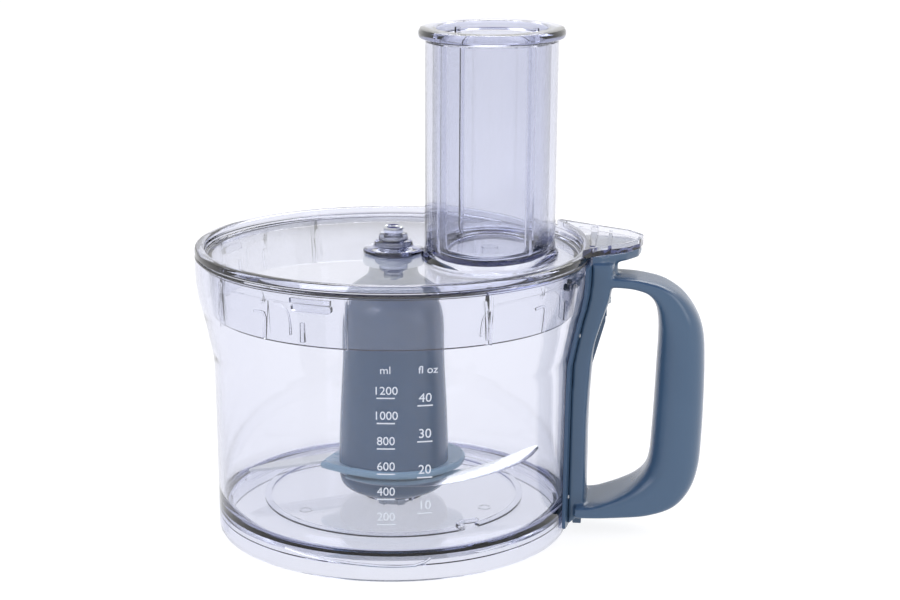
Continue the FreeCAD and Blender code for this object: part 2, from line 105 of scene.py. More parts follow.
def rounded(corners, steps=5):
    """A closed outline through (a, b, radius) corners, with an arc at each corner."""
    flat = [Vector(c[:2]) for c in corners]
    run = []
    for i, corner in enumerate(corners):
        here, radius = flat[i], corner[2]
        if radius <= 0:
            run.append(here)
            continue
        back = (flat[i - 1] - here).normalized()
        ahead = (flat[(i + 1) % len(flat)] - here).normalized()
        half = back.angle(ahead) / 2
        centre = here + (back + ahead).normalized() * (radius / math.sin(half))
        start = here + back * (radius / math.tan(half)) - centre
        end = here + ahead * (radius / math.tan(half)) - centre
        sweep = start.angle_signed(end)
        for s in range(steps + 1):
            run.append(centre + start @ Matrix.Rotation(sweep * s / steps, 2))
    return run


def ring_mesh(rings, closed=True):
    """A bmesh skinned over rings of equal length, closed on itself or else capped at both ends."""
    bm = bmesh.new()
    rows = [[bm.verts.new(p) for p in ring] for ring in rings]
    pairs = zip(rows, rows[1:] + rows[:1]) if closed else zip(rows, rows[1:])
    for a, b in pairs:
        for i in range(len(a)):
            j = (i + 1) % len(a)
            bm.faces.new((a[i], a[j], b[j], b[i]))
    if not closed:
        bm.faces.new(rows[0])
        bm.faces.new(rows[-1])
    bmesh.ops.remove_doubles(bm, verts=bm.verts, dist=1e-4)
    bmesh.ops.recalc_face_normals(bm, faces=bm.faces)
    return bm


def lathe(outline, around=ROUND):
    """A (radius, height) outline turned about the bowl's axis, closed unless it starts on the axis."""
    rings = [[(r * math.cos(TURN * k / around), r * math.sin(TURN * k / around), z) for k in range(around)]
             for r, z in outline]
    return ring_mesh(rings, closed=outline[0][0] > 0)


def arc_block(outline, centre, half_angle, steps=12):
    """A closed (radius, height) outline turned through a part of a circle, in degrees."""
    angles = [math.radians(centre + half_angle * (2 * k / steps - 1)) for k in range(steps + 1)]
    return ring_mesh([[(r * math.cos(a), r * math.sin(a), z) for r, z in outline] for a in angles],
                     closed=False)


def arc_bar(stations, inner, outer, turn=0):
    """A bar bent round the axis between two radii, given (angle in degrees, under, top) stations."""
    rings = []
    for degrees, under, top in stations:
        a = math.radians(degrees + turn)
        rings.append([(r * math.cos(a), r * math.sin(a), z)
                      for r, z in ((inner, under), (outer, under), (outer, top), (inner, top))])
    return ring_mesh(rings, closed=False)


def ribbon(path, half_width, place):
    """A narrow bar along a path of (a, b) points, whose corners place(a, b, side) puts in space."""
    rings = []
    points = [Vector(p) for p in path]
    for i, here in enumerate(points):
        along = (points[min(i + 1, len(points) - 1)] - points[max(i - 1, 0)]).normalized()
        across = Vector((-along.y, along.x)) * half_width
        left, right = here + across, here - across
        rings.append([place(*left, 0), place(*right, 0), place(*right, 1), place(*left, 1)])
    return ring_mesh(rings, closed=False)


def wall_ribbon(path, half_width, inner, outer, turn=0):
    """A ribbon on a round wall; its path is in (degrees, height)."""
    scale = math.radians(1) * outer

    def place(a, b, side):
        angle = math.radians(a / scale + turn)
        radius = (inner, outer)[side]
        return (radius * math.cos(angle), radius * math.sin(angle), b)
    return ribbon([(degrees * scale, z) for degrees, z in path], half_width, place)


def floor_ribbon(path, half_width, under, top):
    """A ribbon on a flat floor; its path is in (degrees, radius)."""
    flat = [(r * math.cos(math.radians(a)), r * math.sin(math.radians(a))) for a, r in path]
    return ribbon(flat, half_width, lambda a, b, side: (a, b, (under, top)[side]))


def oval_points(inset, z, count=ROUND):
    along_x, along_y = TUBE_OVAL[0] - inset, TUBE_OVAL[1] - inset
    return [(TUBE_X + along_x * math.cos(TURN * k / count), along_y * math.sin(TURN * k / count), z)
            for k in range(count)]


def oval_shell(outline):
    """A closed (inset, height) outline carried round the feed tube's oval."""
    return ring_mesh([oval_points(inset, z) for inset, z in outline])


def slab(outline, low, high, plane="xy"):
    """An outline given thickness along Z, or along Y for an outline in the XZ plane."""
    def place(p, level):
        return (p[0], p[1], level) if plane == "xy" else (p[0], level, p[1])
    return ring_mesh([[place(p, low) for p in outline], [place(p, high) for p in outline]], closed=False)


def block(x0, x1, y0, y1, z0, z1):
    return slab([(x0, y0), (x1, y0), (x1, y1), (x0, y1)], z0, z1)


def joined(parts):
    whole = bmesh.new()
    for part in parts:
        mesh = bpy.data.meshes.new("part")
        part.to_mesh(mesh)
        part.free()
        whole.from_mesh(mesh)
        bpy.data.meshes.remove(mesh)
    return whole


def turned(bm, degrees):
    bmesh.ops.rotate(bm, verts=bm.verts, cent=(0, 0, 0),
                     matrix=Matrix.Rotation(math.radians(degrees), 3, "Z"))
    return bm


def as_object(name, bm):
    mesh = bpy.data.meshes.new(name)
    bm.to_mesh(mesh)
    bm.free()
    made = bpy.data.objects.new(name, mesh)
    bpy.context.scene.collection.objects.link(made)
    return made


def apply_modifiers(piece):
    graph = bpy.context.evaluated_depsgraph_get()
    mesh = bpy.data.meshes.new_from_object(piece.evaluated_get(graph))
    piece.modifiers.clear()
    old, piece.data = piece.data, mesh
    bpy.data.meshes.remove(old)


def combine(piece, bm, operation):
    """Joins to a piece, or cuts from it, every solid in one bmesh."""
    tool = as_object("tool", bm)
    modifier = piece.modifiers.new("combine", "BOOLEAN")
    modifier.object, modifier.operation, modifier.solver = tool, operation, "MANIFOLD"
    apply_modifiers(piece)
    bpy.data.objects.remove(tool)


def finished(piece, material, body, replaced=()):
    """Scales a piece to metres, shades it, hangs it on the body it rides on and hides the parts it stands
    for.
    """
    piece.data.transform(Matrix.Scale(MM, 4))
    piece.data.materials.clear()
    piece.data.materials.append(material)
    piece.data.shade_smooth()
    piece.data.set_sharp_from_angle(angle=SHARP_ANGLE)
    level = piece.modifiers.new("level", "WEIGHTED_NORMAL")
    level.keep_sharp, level.weight = True, 100
    apply_modifiers(piece)
    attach(piece, body)
    if replaced:
        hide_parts(*replaced)
    return piece


def outer_radius(z):
    if z <= BOWL_SIDE[0][1]:
        return BOWL_SIDE[0][0]
    for (r0, z0), (r1, z1) in zip(BOWL_SIDE, BOWL_SIDE[1:]):
        if z <= z1:
            return r0 + (r1 - r0) * (z - z0) / (z1 - z0)
    return BOWL_SIDE[-1][0]


# ---------------------------------------------------------------- materials

def new_material(name):
    material = bpy.data.materials.new(name)
    material.use_nodes = True
    tree = material.node_tree
    return material, tree.nodes, tree.links, tree.nodes["Principled BSDF"]


def noise(nodes, links, scale, detail=3.0):
    """A noise texture in the object's own coordinates, which are metres."""
    place = nodes.new("ShaderNodeTexCoord")
    texture = nodes.new("ShaderNodeTexNoise")
    texture.inputs["Scale"].default_value = scale
    texture.inputs["Detail"].default_value = detail
    links.new(place.outputs["Object"], texture.inputs["Vector"])
    return texture.outputs["Fac"]


def ramp_value(nodes, links, source, low, high):
    spread = nodes.new("ShaderNodeMapRange")
    spread.inputs["To Min"].default_value = low
    spread.inputs["To Max"].default_value = high
    links.new(source, spread.inputs["Value"])
    return spread.outputs["Result"]


def blend_colours(nodes, links, source, low, high):
    mix = nodes.new("ShaderNodeMix")
    mix.data_type = "RGBA"
    mix.inputs[6].default_value = (*low, 1)
    mix.inputs[7].default_value = (*high, 1)
    links.new(source, mix.inputs[0])
    return mix.outputs[2]


CLEAR_FACE = (0.985, 0.987, 0.99)
CLEAR_BODY = (0.15, 0.20, 0.50)
CLEAR_DENSITY = 60.0


def clear_material():
    """Clear plastic: pale through one wall, violet along it, and it lets light pass to what it holds."""
    material, nodes, links, shader = new_material("clear_plastic")
    shader.inputs["Base Color"].default_value = (*CLEAR_FACE, 1)
    shader.inputs["Transmission Weight"].default_value = 1.0
    shader.inputs["IOR"].default_value = 1.47
    links.new(ramp_value(nodes, links, noise(nodes, links, 60.0), 0.005, 0.03), shader.inputs["Roughness"])
    passing = nodes.new("ShaderNodeBsdfTransparent")
    passing.inputs["Color"].default_value = (0.93, 0.94, 0.965, 1)
    ray = nodes.new("ShaderNodeLightPath")
    choose = nodes.new("ShaderNodeMixShader")
    links.new(ray.outputs["Is Shadow Ray"], choose.inputs[0])
    links.new(shader.outputs[0], choose.inputs[1])
    links.new(passing.outputs[0], choose.inputs[2])
    links.new(choose.outputs[0], nodes["Material Output"].inputs["Surface"])
    body = nodes.new("ShaderNodeVolumeAbsorption")
    body.inputs["Color"].default_value = (*CLEAR_BODY, 1)
    body.inputs["Density"].default_value = CLEAR_DENSITY
    links.new(body.outputs[0], nodes["Material Output"].inputs["Volume"])
    return material


def plastic_material(name, dark, light, roughness, grain=0.006):
    """Moulded opaque plastic with faint mottling and a fine moulded surface."""
    material, nodes, links, shader = new_material(name)
    mottle = noise(nodes, links, 35.0)
    links.new(blend_colours(nodes, links, mottle, dark, light), shader.inputs["Base Color"])
    links.new(ramp_value(nodes, links, noise(nodes, links, 220.0), roughness - 0.05, roughness + 0.07),
              shader.inputs["Roughness"])
    bump = nodes.new("ShaderNodeBump")
    bump.inputs["Strength"].default_value = grain
    bump.inputs["Distance"].default_value = 0.0002
    links.new(noise(nodes, links, 1400.0, 2.0), bump.inputs["Height"])
    links.new(bump.outputs["Normal"], shader.inputs["Normal"])
    return material


def metal_material(name, dark, light, roughness, stretch=(1, 1, 1)):
    """Ground metal: fine lines along one direction in colour and roughness."""
    material, nodes, links, shader = new_material(name)
    place = nodes.new("ShaderNodeTexCoord")
    mapping = nodes.new("ShaderNodeMapping")
    mapping.inputs["Scale"].default_value = stretch
    texture = nodes.new("ShaderNodeTexNoise")
    texture.inputs["Scale"].default_value = 900.0
    texture.inputs["Detail"].default_value = 4.0
    links.new(place.outputs["Object"], mapping.inputs["Vector"])
    links.new(mapping.outputs["Vector"], texture.inputs["Vector"])
    links.new(blend_colours(nodes, links, texture.outputs["Fac"], dark, light), shader.inputs["Base Color"])
    links.new(ramp_value(nodes, links, texture.outputs["Fac"], roughness - 0.06, roughness + 0.06),
              shader.inputs["Roughness"])
    shader.inputs["Metallic"].default_value = 1.0
    return material


CLEAR = clear_material()
BLUE_GREY = plastic_material("blue_grey_plastic", (0.046, 0.090, 0.158), (0.056, 0.104, 0.176), 0.22)
LIGHT_BLUE = plastic_material("light_blue_plastic", (0.195, 0.320, 0.420), (0.225, 0.350, 0.450), 0.28)
PALE_NYLON = plastic_material("pale_nylon", (0.60, 0.66, 0.70), (0.66, 0.71, 0.74), 0.42)
GREY_NYLON = plastic_material("grey_nylon", (0.50, 0.55, 0.60), (0.56, 0.61, 0.66), 0.45)
MARKING = plastic_material("marking", (0.56, 0.60, 0.67), (0.62, 0.66, 0.73), 0.35)
BLADE_STEEL = metal_material("blade_steel", (0.62, 0.64, 0.66), (0.80, 0.81, 0.82), 0.22, (1, 14, 1))
TURNED_STEEL = metal_material("turned_steel", (0.48, 0.50, 0.52), (0.66, 0.67, 0.69), 0.25, (1, 1, 12))
SPRING_STEEL = metal_material("spring_steel", (0.40, 0.41, 0.43), (0.55, 0.56, 0.58), 0.3)
BRONZE = metal_material("bearing_bronze", (0.42, 0.28, 0.13), (0.58, 0.42, 0.22), 0.35)
BY_SLOT = {"blue_grey_plastic": BLUE_GREY, "light_blue_plastic": LIGHT_BLUE, "pale_nylon": PALE_NYLON,
           "grey_nylon": GREY_NYLON, "blade_steel": BLADE_STEEL, "turned_steel": TURNED_STEEL,
           "spring_steel": SPRING_STEEL, "bearing_bronze": BRONZE, "clear_plastic": CLEAR}


def dress_cad_nodes():
    """Gives every CAD node the material of its slot; the ones replaced later are hidden anyway."""
    for part in frame["record"]["subparts"]:
        mesh = frame["nodes"][part["node"]].data
        mesh.materials.clear()
        mesh.materials.append(BY_SLOT[part["material_slot"]])
        mesh.shade_smooth()
        mesh.set_sharp_from_angle(angle=SHARP_ANGLE)


# ---------------------------------------------------------------- bowl

def make_bowl():
    side = [(p.x, p.y) for p in smooth_run([p for p in BOWL_SIDE if p[1] >= 14.0])]
    inside = [(r - WALL, z) for r, z in reversed(side)]
    foot = [(79.6, 0.0), (82.0, 0.0), (82.7, 0.5), (83.1, 1.6), (83.2, 5.0)]
    outline = ([(FOOT_INNER, 0.6), *foot, *side[:-1], (BOWL_RADIUS, BOWL_TOP - 0.5),
                (BOWL_RADIUS - 0.5, BOWL_TOP),
               (BOWL_RADIUS - WALL, BOWL_TOP), *inside[1:-2], (80.9, FLOOR_TOP + 3.0),
                (79.6, FLOOR_TOP + 0.8),
               (77.5, FLOOR_TOP), (CHIMNEY_RADIUS + 2, FLOOR_TOP), (CHIMNEY_RADIUS, FLOOR_TOP + 2),
                (CHIMNEY_RADIUS, CHIMNEY_TOP - 0.6),
               (CHIMNEY_RADIUS - 0.6, CHIMNEY_TOP), (CHIMNEY_BORE, CHIMNEY_TOP),
                (CHIMNEY_BORE, FLOOR_UNDER),
               (76.5, FLOOR_UNDER), (FOOT_INNER - 0.7, FLOOR_UNDER - 1.6), (FOOT_INNER - 0.7, 7.0),
                (FOOT_INNER, 6.6)])
    bowl = as_object("bowl_body", lathe(outline))
    ledges = [arc_block([(87.2, 125.3), (90.4, 125.3), (90.4, 127.3), (87.2, 127.3)], a,
                        6.0) for a in LUG_ANGLES]
    combine(bowl, joined(ledges + base_ramps() + floor_ridge()), "UNION")
    return finished(bowl, CLEAR, "bowl", ["bowl"])


def base_ramps():
    """Shallow ramps inside the foot that draw the bowl down on its base as it is turned."""
    ramp = [(-119, 9.6), (-112, 8.6), (-104, 7.6), (-94, 7.0), (-86, 6.5), (-80, 6.4), (-75, 6.6),
            (-72, 7.8), (-70, 9.4)]
    hook = [(-55, 9.9), (-53, 9.2), (-50, 9.4), (-40, 10.1), (-30, 10.4)]
    inner, outer = FOOT_INNER - 1.6, FOOT_INNER + 0.4
    return [wall_ribbon(path, half, inner, outer, turn) for turn in (0, 120, 240)
            for path, half in ((ramp, 0.45), (hook, 0.4))]


def floor_ridge():
    """The ridge round the floor, broken once by a hook that curls inwards, and three moulding marks."""
    start, end = -43, 307
    ring = [(start + (end - start) * k / 140, RIDGE_RADIUS) for k in range(141)]
    hook = [(-53, 60.0), (-51.6, 60.6), (-50.2, 59.6), (-49.8, 57.8), (-50.6, 56.0), (-49.4, 54.4),
            (-46.5, 54.2),
            (-43.0, 55.4), (-39.0, 56.4)]
    parts = [floor_ribbon(ring, 1.5, FLOOR_TOP - 0.5, FLOOR_TOP + 1.2),
             floor_ribbon(smooth_run(hook, 4), 0.8, FLOOR_TOP - 0.5, FLOOR_TOP + 1.6),
             floor_ribbon([(-52.4, 60.0), (-51.4, 60.0), (-50.6, 59.6)], 1.5, FLOOR_TOP - 0.5,
                          FLOOR_TOP + 1.3)]
    for angle in (-20, 100, 220):
        centre = Vector((48 * math.cos(math.radians(angle)), 48 * math.sin(math.radians(angle))))
        mark = [[(centre.x + r * math.cos(TURN * k / 32), centre.y + r * math.sin(TURN * k / 32), z)
                 for k in range(32)] for r, z in ((3.0, FLOOR_TOP - 0.5), (3.0, FLOOR_TOP + 0.3),
                                                  (2.4, FLOOR_TOP + 0.3),
                                                  (2.4, FLOOR_TOP - 0.5))]
        parts.append(ring_mesh(mark))
    return parts


# ---------------------------------------------------------------- lid with its feed tube, and the pusher

def make_lid():
    outline = [(0, PLATE_UNDER), (RIM_INNER - 1.2, PLATE_UNDER), (88.2, PLATE_UNDER), (88.2, 131.3),
               (BOWL_RADIUS - 0.6, 131.3), (BOWL_RADIUS, 131.9), (BOWL_RADIUS, 133.8),
               (BOWL_RADIUS - 0.35, 134.6),
               (BOWL_RADIUS - 1.2, LID_TOP), (RIM_INNER + 1.0, LID_TOP), (RIM_INNER + 0.2, LID_TOP - 0.5),
               (RIM_INNER - 0.6, PLATE_TOP + 0.6), (RIM_INNER - 1.4, PLATE_TOP), (0, PLATE_TOP)]
    lid = as_object("lid_body", lathe(outline))
    skirt = lathe([(SKIRT_RADIUS - SKIRT_WALL, LID_SKIRT_UNDER + 0.4),
                   (SKIRT_RADIUS - 1.4, LID_SKIRT_UNDER),
                   (SKIRT_RADIUS - 0.5, LID_SKIRT_UNDER), (SKIRT_RADIUS, LID_SKIRT_UNDER + 0.6),
                   (SKIRT_TOP_RADIUS, PLATE_UNDER + 1), (SKIRT_TOP_RADIUS - SKIRT_WALL, PLATE_UNDER + 1)])
    combine(lid, skirt, "UNION")
    boss = lathe([(0, PLATE_UNDER + 0.6), (14.0, PLATE_UNDER + 0.6), (14.0, 131.8), (13.6, 132.5),
                  (12.6, 132.8), (9.8, 133.1),
                  (9.0, 133.8), (8.8, 135.4), (8.2, 136.1), (6.9, 136.4), (6.6, 138.8), (5.9, 139.5),
                  (4.5, 139.7),
                  (4.3, 141.2), (3.8, 141.7), (0, 141.7)], 96)
    combine(lid, boss, "UNION")
    for parts in skirt_details():
        combine(lid, joined(parts), "UNION")
    combine(lid, lid_tab(), "UNION")
    tube = oval_shell([(-1.6, PLATE_TOP - 1), (-1.6, PLATE_TOP + 0.8), (-0.6, PLATE_TOP + 2.0),
                       (0.0, PLATE_TOP + 4.5),
                       (0.0, TUBE_HIGH.z - 0.5), (0.5, TUBE_HIGH.z), (TUBE_WALL - 0.4, TUBE_HIGH.z),
                       (TUBE_WALL, TUBE_HIGH.z - 0.4), (TUBE_WALL, PLATE_TOP - 1)])
    combine(lid, tube, "UNION")
    hole = ring_mesh([oval_points(TUBE_WALL, PLATE_UNDER - 1), oval_points(TUBE_WALL, PLATE_TOP + 6)],
                     closed=False)
    combine(lid, hole, "DIFFERENCE")
    return finished(lid, CLEAR, "lid", ["lid", "feed_tube"])


def make_knob_ring():
    """The steel ring let into the top of the lid's knob."""
    ring = lathe([(3.3, 141.0), (4.5, 141.0), (4.7, 141.5), (4.5, 142.3), (4.1, 142.6), (3.6, 142.3),
                  (3.3, 141.8)], 64)
    return finished(as_object("knob_ring", ring), TURNED_STEEL, "lid")


def skirt_details():
    """Round-ended lugs, wedge ribs and fine moulded outlines, four times round the lid's skirt."""
    pill = [(-6, 122.6, 123.4), (-5.85, 121.9, 124.1), (-5.4, 121.5, 124.5), (-4.6, 121.3, 124.7),
            (-3, 121.3, 124.7),
            (0, 121.3, 124.7), (3, 121.3, 124.7), (4.6, 121.3, 124.7), (5.4, 121.5, 124.5),
            (5.85, 121.9, 124.1),
            (6, 122.6, 123.4)]
    panel = smooth_run([(-56, 110), (-55.2, 118), (-52, 121.8), (-46, 123), (-34, 123.2), (-26, 122.6),
                        (-23, 119),
                        (-22.4, 110)], 5)
    seven = [(-36, 117.6), (-33.6, 118), (-32, 117.8), (-31.4, 116), (-31.6, 111), (-32, 106.4)]
    ledge = smooth_run([(-123, 121.4), (-122, 123.2), (-119, 123.6), (-114, 123.4), (-111.6, 123.4)], 4)
    skirt, proud = SKIRT_RADIUS - 1, SKIRT_RADIUS + 1.2
    lugs, ribs, lines = [], [], []
    for turn in (0, 90, 180, 270):
        lugs.append(arc_bar(pill, SKIRT_RADIUS + 0.2, 88.2, turn - 105))
        for middle, under, top, low_half, high_half, out in ((-95, 105.9, 128.6, 0.28, 0.5, 1.8),
                                                             (-53, 105.9, 128.6, 0.3, 0.8, 1.8),
                                                             (-144, 108.0, 125.0, 0.25, 1.1, 1.6),
                                                             (-108.4, 107.6, 116.0, 0.7, 0.6, 1.5)):
            a, wide_low, wide_high = math.radians(middle + turn), *(math.radians(h) for h in (low_half,
                                                                                              high_half))
            section = [[(r * math.cos(a + side * w), r * math.sin(a + side * w), z)
                        for r, side in ((skirt, -1), (SKIRT_RADIUS + out, -1), (SKIRT_RADIUS + out, 1),
                                        (skirt, 1))]
                       for w, z in ((wide_low, under), (wide_high, top))]
            ribs.append(ring_mesh(section, closed=False))
        lines += [wall_ribbon(panel, 0.35, skirt, proud, turn),
                  wall_ribbon(seven, 0.5, skirt, proud + 0.2, turn),
                  wall_ribbon(ledge, 0.3, skirt, proud, turn)]
    return lugs, ribs, lines


TAB_UNDER = 133.4
TAB_TOP = 137.6
TAB_FLOOR = 2.0
PLAN_STEPS = 8
# the tab over the handle and its hollow, in plan: a leaf that leans away from the handle's middle plane
TAB_OUTLINE = [(88.5, -20, 0), (92.4, -14, 8), (97, -8.5, 8), (108, -1, 12), (114, 9, 8), (115.5, 21, 5),
               (109, 31, 8), (95, 40, 12), (69.5, 57, 2), (77, 43, 0), (84.6, 24, 0), (88, 5, 0)]
TAB_POCKET = [(91.4, -12, 1), (96, -7.2, 4), (106.8, 0.6, 9), (112.4, 9.8, 6), (113.6, 20.4, 3),
              (107.6, 29.4, 6),
              (94, 38.0, 9), (75, 50, 1), (79.6, 43, 0), (86.6, 24.6, 0), (90.4, 5, 0)]


def lid_tab():
    """The tab over the handle: a hollow leaf with two cross walls and a short one at its root."""
    under, over = TAB_UNDER, TAB_TOP
    beak = as_object("beak", slab(rounded(TAB_OUTLINE, PLAN_STEPS), under, over))
    combine(beak, slab(rounded(TAB_POCKET, PLAN_STEPS), under + TAB_FLOOR, over + 1), "DIFFERENCE")
    walls = [block(99.0, 100.6, -4.6, 30.5, under + 1.0, over - 0.5),
             block(90.6, 93.6, -6.0, 44.0, under + 1.0, over - 0.5),
             block(84.0, 90.6, 42.6, 43.8, under + 1.0, over - 1.4)]
    for wall in walls:
        combine(beak, wall, "UNION")
    soft = beak.modifiers.new("soft", "BEVEL")
    soft.width, soft.segments, soft.limit_method, soft.angle_limit = 0.55, 3, "ANGLE", math.radians(50)
    apply_modifiers(beak)
    bm = bmesh.new()
    bm.from_mesh(beak.data)
    bpy.data.objects.remove(beak)
    return bm


def make_pusher():
    inset = TUBE_WALL + 0.6
    low, high = PUSHER_LOW.z, PUSHER_HIGH.z
    wall = 2.2
    under = high - 4.8
    outer = [(inset + 24, low), (inset + 3, low), (inset + 1, low + 0.6), (inset, low + 2.4),
             (inset, under),
             (-1.6, under), (-2.9, under + 0.7), (-3.2, under + 1.9), (-3.1, high - 1.5),
             (-2.4, high - 0.4),
             (-1.2, high), (inset + wall - 1.4, high), (inset + wall - 0.4, high - 0.5),
             (inset + wall, high - 1.6),
             (inset + wall, low + 7), (inset + wall + 0.9, low + 4.6),
             (inset + wall + 3.4, low + wall + 0.8),
             (inset + wall + 6.5, low + wall),
             (inset + 24, low + wall)]
    rings = [oval_points(i, z) for i, z in outer]
    pusher = as_object("pusher_body", ring_mesh(rings, closed=False))
    ribs = []
    for turn in (-50, 50, 130, -130):
        a = math.radians(turn - 90)
        x, y = (TUBE_X + (TUBE_OVAL[0] - inset - wall) * math.cos(a),
                (TUBE_OVAL[1] - inset - wall) * math.sin(a))
        inwards = Vector((TUBE_X - x, -y)).normalized()
        across = Vector((-inwards.y, inwards.x)) * 1.5
        corners = [Vector((x, y)) - inwards * 0.8, Vector((x, y)) + inwards * 2.6]
        outline = [corners[0] - across, corners[1] - across * 0.6, corners[1] + across * 0.6,
                   corners[0] + across]
        ribs.append(slab(outline, low + 3.2, high - 2.4))
    combine(pusher, joined(ribs), "UNION")
    mark = [[(TUBE_X + r * math.cos(TURN * k / 40), r * math.sin(TURN * k / 40), z) for k in range(40)]
            for r, z in ((4.2, low + 1), (4.2, low + wall + 0.5), (3.5, low + wall + 0.5), (3.5, low + 1))]
    combine(pusher, ring_mesh(mark), "UNION")
    return finished(pusher, CLEAR, "pusher", ["pusher"])


# ---------------------------------------------------------------- knife

def make_hub():
    side = smooth_run([(26.0, 29.5), (25.8, 40.0), (25.0, 59.0), (23.9, 80.0), (23.6, 96.0), (22.7, 103.5),
                       (20.5, 108.5), (16.2, 112.8), (12.6, 116.0), (11.5, 119.0), (11.5, 122.0)])
    inner = [(9.0, 122.0), (9.0, 113.0), (16.0, 107.0), (21.0, 98.0), (22.4, 59.0), (23.2, 29.5)]
    hub = as_object("hub_shell", lathe([(p.x, p.y) for p in side] + inner, 96))
    return finished(hub, BLUE_GREY, "knife", ["knife_hub"])


# the carrier's edge: (degrees, radius, underside)
CARRIER_EDGE = [(190, 35.0, 25.0), (198, 33.2, 25.9), (214, 30.2, 27.0), (240, 27.9, 27.8),
                (272, 27.4, 28.0),
                (305, 27.8, 27.7), (335, 29.6, 27.2), (356, 32.2, 27.0), (372, 34.2, 27.2),
                (386, 35.0, 27.4),
                (400, 33.8, 27.6), (418, 31.0, 27.8), (444, 28.4, 28.0), (475, 27.4, 28.0),
                (505, 28.0, 27.2),
                (530, 30.6, 26.2), (543, 33.2, 25.4)]
CARRIER_BORE = 13.3


def make_carrier():
    """The carrier disc: a swirl whose rim runs out to a point on one side and a round lobe on the other."""
    edge = CARRIER_EDGE + [(550, *CARRIER_EDGE[0][1:])]
    turns = smooth_run([(degrees, radius) for degrees, radius, _ in edge], 8)[:-1]
    levels = smooth_run([(under, 0) for _, _, under in edge], 8)
    rings = []
    for (degrees, radius), (under, _) in zip(turns, levels):
        a = math.radians(degrees)
        section = ((CARRIER_BORE, CARRIER_LOW.z), (24.6, CARRIER_LOW.z), (radius - 2.4, under),
                   (radius - 0.7, under + 0.4),
                   (radius, under + 1.7), (radius - 0.2, under + 3.0), (radius - 1.0, under + 3.7),
                   (radius - 2.2, under + 3.7), (25.7, under + 3.3), (CARRIER_BORE, under + 2.6))
        rings.append([(r * math.cos(a), r * math.sin(a), z) for r, z in section])
    carrier = as_object("carrier_disc", ring_mesh(rings))
    return finished(carrier, LIGHT_BLUE, "knife", ["blade_carrier"])


def make_skirt():
    outline = [(p.x, p.y) for p in smooth_run([(25.4, 25.2), (25.7, 22.6), (24.6, 19.4), (21.4, 16.9),
                                               (16.6, 15.6),
                                               (15.4, 15.2)], 5)]
    outline += [(15.2, 14.2), (13.6, 14.2), (CARRIER_BORE, 14.8), (CARRIER_BORE, 25.2)]
    skirt = as_object("hub_skirt_ring", lathe(outline, 96))
    return finished(skirt, BLUE_GREY, "knife", ["hub_skirt"])


def make_collar():
    outline = [(9.1, 122.0), (12.6, 122.0), (13.8, 122.5), (14.2, 123.6), (14.2, 125.4), (13.7, 126.6),
               (12.6, 127.2),
               (10.4, 127.2), (9.4, 126.6), (9.1, 125.6)]
    collar = as_object("hub_collar_ring", lathe(outline, 96))
    return finished(collar, PALE_NYLON, "knife", ["hub_collar"])


# cutting edge (x, y), back edge (x, y) and height of the middle, from the root under the carrier to the tip
BLADE_RUN = [((-20, -21.5), (-18, -15), 26.8), ((-9.5, -28.2), (-7, -19), 27.0),
             ((2, -30.6), (2, -20), 27.0),
             ((14, -29.6), (12, -17), 26.8), ((26, -25.2), (24, -10), 26.8),
             ((38.4, -17.2), (36, -3.6), 27.2),
             ((50.6, -9.8), (47, 2.5), 28.9), ((60.2, -3.4), (56, 7.0), 31.3),
             ((65.8, 3.0), (62.4, 9.4), 33.4),
             ((68.6, 9.6), (67.6, 10.8), 35.0)]


def make_blade(name, node, drop, flatten, turn):
    """A sickle blade from the carrier's rim out to its tip, with a ground bevel on its outer edge."""
    front = smooth_run([f for f, _, _ in BLADE_RUN], 8)
    back = smooth_run([b for _, b, _ in BLADE_RUN], 8)
    middle = smooth_run([(z, 0) for _, _, z in BLADE_RUN], 8)
    rings = []
    for f, b, level in zip(front, back, middle):
        z = BLADE_RUN[0][2] - drop + (level.x - BLADE_RUN[0][2]) * flatten
        across = b - f
        grind = f + across * min(0.32, 3.4 / max(across.length, 0.5))
        rings.append([(f.x, f.y, z - 0.5), (f.x, f.y, z - 0.6), (b.x, b.y, z - 0.6), (b.x, b.y, z + 0.6),
                      (grind.x, grind.y, z + 0.6)])
    blade = as_object(name, turned(ring_mesh(rings, closed=False), turn))
    return finished(blade, BLADE_STEEL, "knife", [node])


# ---------------------------------------------------------------- handle

# stations round the loop: inner edge (x, z), outer edge (x, z), half width, squareness of the section
HANDLE_LOOP = [((97, 118.6), (97, 123.4), 12.4, 6.0), ((107, 118.5), (107.5, 123.3), 12.4, 6.0),
               ((113.6, 117.6), (116.5, 122.4), 12.6, 5.4), ((118.6, 115.4), (126.2, 120.0), 13.0, 4.2),
               ((121.8, 110.6), (134.8, 114.6), 13.6, 3.2), ((123.2, 103.0), (141.0, 106.4), 14.2, 2.6),
               ((123.4, 94.0), (144.2, 97.0), 14.5, 2.35), ((123.0, 82.0), (145.2, 84.0), 14.5, 2.3),
               ((122.5, 66.0), (145.4, 66.0), 14.5, 2.3), ((121.8, 50.0), (145.0, 47.0), 14.5, 2.3),
               ((121.0, 38.0), (144.0, 33.0), 14.8, 2.5), ((118.8, 30.6), (140.6, 22.4), 15.4, 3.0),
               ((114.2, 25.0), (133.4, 14.6), 16.2, 4.0), ((108.0, 20.6), (121.6, 11.0), 17.2, 5.4),
               ((101.0, 17.2), (109.0, 9.9), 17.6, 6.5), ((95.0, 15.2), (98.6, 9.2), 17.6, 6.5),
               ((87.5, 14.6), (87.5, 8.8), 17.6, 6.5)]
# outer face of the post as (x, z), from its foot up
POST_FACE = [(84.2, 3.6), (90.0, 9.0), (92.0, 12.0), (92.2, 30.0), (92.3, 55.0), (93.2, 75.0), (94.6, 90.0),
             (98.2, 103.0), (101.2, 113.0), (102.4, 122.0), (102.6, 129.6)]
POST_HALF_WIDTH = 12.5
PLATE_CLEAR = 1.8
ROD_LOW_X = 88.0
ROD_TOP_X = 97.6


